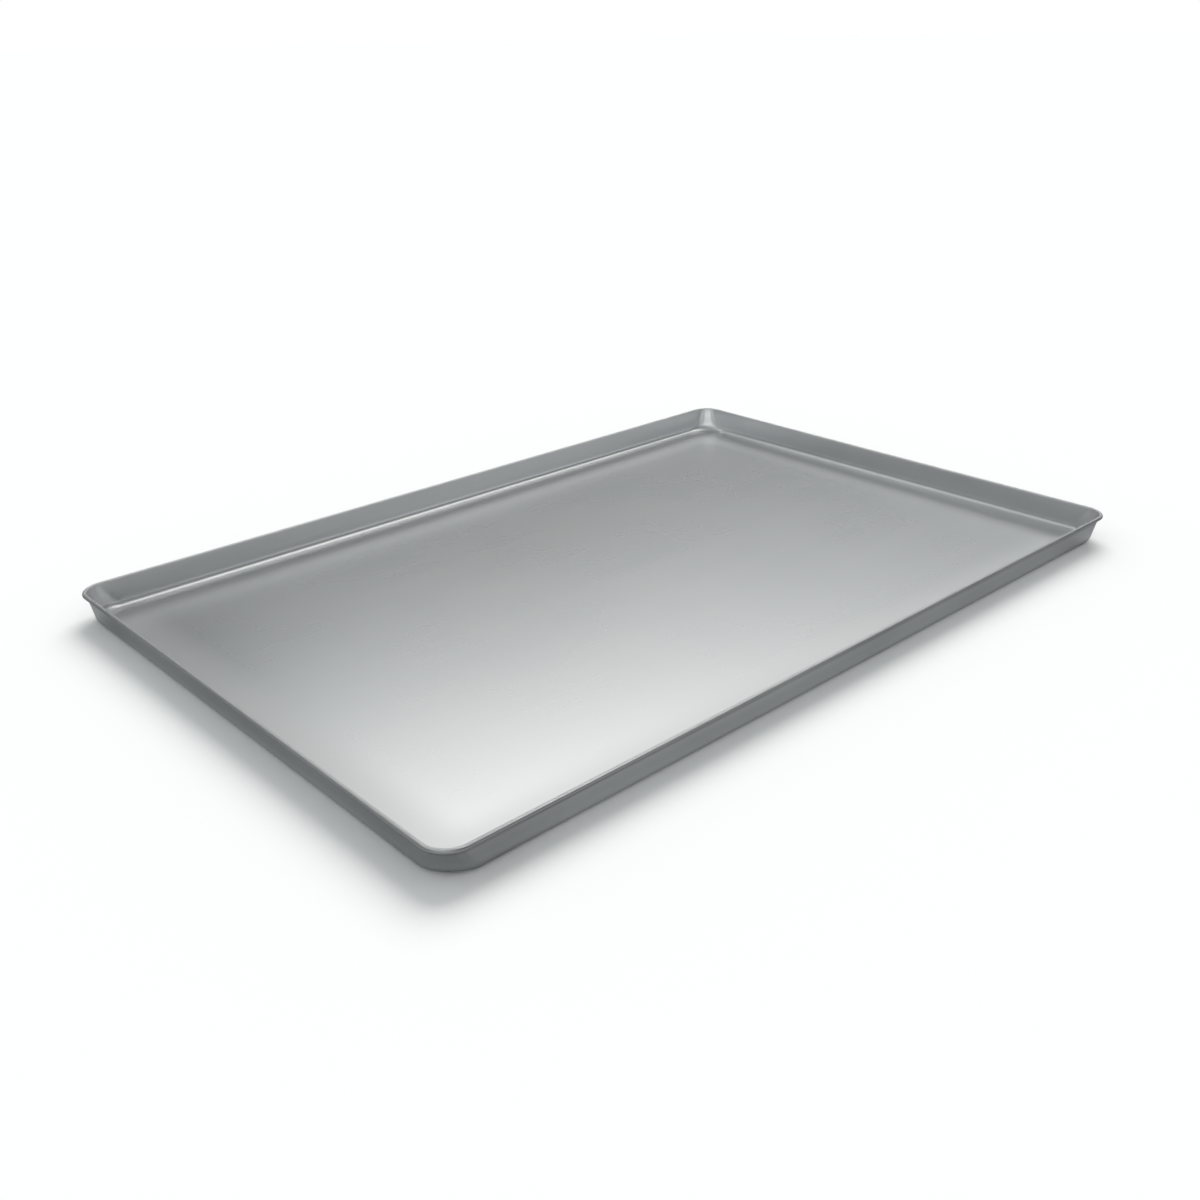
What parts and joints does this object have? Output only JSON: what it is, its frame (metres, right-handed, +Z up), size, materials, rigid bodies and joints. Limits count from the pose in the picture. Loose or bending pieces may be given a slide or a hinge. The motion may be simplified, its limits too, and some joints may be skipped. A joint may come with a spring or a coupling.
{
  "type": "display tray",
  "caption": "Flat rectangular aluminium display tray with low flared walls, rounded corners and a rolled rim stiffened by a wire.",
  "frame": {"origin": "middle of the flat underside, on the surface that the tray stands on", "axes": "+X along the tray's length, +Y along its width, +Z up, out of the open top"},
  "size_m": [0.6, 0.4, 0.02],
  "materials": {
    "tray_sheet": "satin natural aluminium",
    "rim_wire": "galvanised steel wire"
  },
  "bodies": {
    "root": {"tray_sheet": "tray_sheet", "rim_wire": "rim_wire"}
  },
  "joints": []
}
